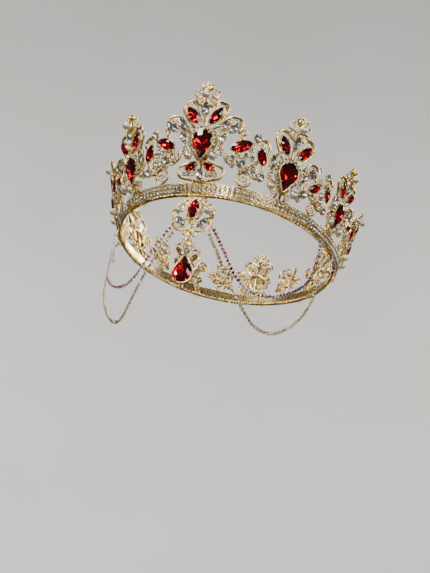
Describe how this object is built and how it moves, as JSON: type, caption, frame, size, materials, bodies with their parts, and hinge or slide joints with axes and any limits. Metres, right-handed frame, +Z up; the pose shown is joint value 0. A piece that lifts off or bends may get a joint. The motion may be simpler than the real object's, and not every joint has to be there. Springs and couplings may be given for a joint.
{
  "type": "jewelled crown",
  "caption": "Open gold wire crown with red and clear stones and pearls, a hinged brow ornament with a pear pendant, swagged rhinestone chains and side tails.",
  "frame": {"origin": "centre of the head opening, level with the band's lower edge", "axes": "+Z up, the wearer faces -Y, +X to the wearer's left hand side seen from behind, which is the right of a viewer who looks along +Y"},
  "size_m": [0.1838, 0.2194, 0.1512],
  "materials": {
    "gold_wire": "polished pale gold plate",
    "gold_cup": "polished gold plate, thin stamped cups",
    "red_glass": "faceted, foil backed",
    "clear_crystal": "faceted, foil backed",
    "pearl": "pearlescent ivory",
    "silver_cup": "polished silver plate",
    "pale_gold_cup": "polished pale gold plate"
  },
  "bodies": {
    "crown": {"hoop": "gold_wire", "lower_braid": "gold_wire", "upper_rim_wire": "gold_wire", "lower_cup_strip": "gold_cup", "upper_cup_strip": "gold_cup", "lower_row_stones": "clear_crystal", "upper_row_stones": "clear_crystal", "binding_wire": "gold_wire", "front_peak_filigree": "gold_wire", "front_right_peak_filigree": "gold_wire", "right_peak_filigree": "gold_wire", "rear_right_peak_filigree": "gold_wire", "back_right_peak_filigree": "gold_wire", "back_peak_filigree": "gold_wire", "back_left_peak_filigree": "gold_wire", "rear_left_peak_filigree": "gold_wire", "left_peak_filigree": "gold_wire", "front_left_peak_filigree": "gold_wire", "front_link_filigree": "gold_wire", "front_right_link_filigree": "gold_wire", "right_link_filigree": "gold_wire", "rear_right_link_filigree": "gold_wire", "back_right_link_filigree": "gold_wire", "back_link_filigree": "gold_wire", "back_left_link_filigree": "gold_wire", "rear_left_link_filigree": "gold_wire", "left_link_filigree": "gold_wire", "front_left_link_filigree": "gold_wire", "pear_settings": "gold_cup", "pear_stones": "red_glass", "halo_stones": "clear_crystal", "navette_settings": "gold_cup", "red_navettes": "red_glass", "clear_navettes": "clear_crystal", "round_settings": "gold_cup", "clear_round_stones": "clear_crystal", "pearls": "pearl", "ornament_hanger": "gold_wire", "tail_hangers": "gold_wire", "swag_short_right": "silver_cup", "swag_long_right": "pale_gold_cup", "swag_short_left": "silver_cup", "swag_long_left": "pale_gold_cup"},
    "brow_ornament": {"ornament_filigree": "gold_wire", "ornament_settings": "gold_cup", "ornament_red_stone": "red_glass", "ornament_clear_stones": "clear_crystal", "ornament_halo_stones": "clear_crystal", "ornament_pearls": "pearl"},
    "drop_ring": {"drop_ring": "gold_wire"},
    "pear_drop": {"drop_bail": "gold_cup", "drop_bail_stones": "clear_crystal", "drop_setting": "gold_cup", "drop_stone": "red_glass"},
    "side_tail_right": {"tail_strip_right": "silver_cup", "tail_stones_right": "red_glass"},
    "side_tail_left": {"tail_strip_left": "silver_cup", "tail_stones_left": "red_glass"}
  },
  "joints": [
    {"name": "ornament_swing", "type": "hinge", "parent": "crown", "child": "brow_ornament", "pos_m": [0, -0.0912, -0.0012], "axis": [-1, 0, 0], "range_deg": [0, 45]},
    {"name": "ring_swing", "type": "hinge", "parent": "brow_ornament", "child": "drop_ring", "pos_m": [0, -0.0912, -0.0322], "axis": [0, 1, 0], "range_deg": [-50, 50]},
    {"name": "drop_swing", "type": "hinge", "parent": "drop_ring", "child": "pear_drop", "pos_m": [0, -0.0912, -0.03575], "axis": [-1, 0, 0], "range_deg": [-45, 60]},
    {"name": "tail_right_swing", "type": "hinge", "parent": "crown", "child": "side_tail_right", "pos_m": [0.07773, -0.01404, -0.0012], "axis": [-0.1381, -0.9904, 0], "range_deg": [-5, 60]},
    {"name": "tail_left_swing", "type": "hinge", "parent": "crown", "child": "side_tail_left", "pos_m": [-0.07773, -0.01404, -0.0012], "axis": [-0.1381, 0.9904, 0], "range_deg": [-5, 60]}
  ]
}
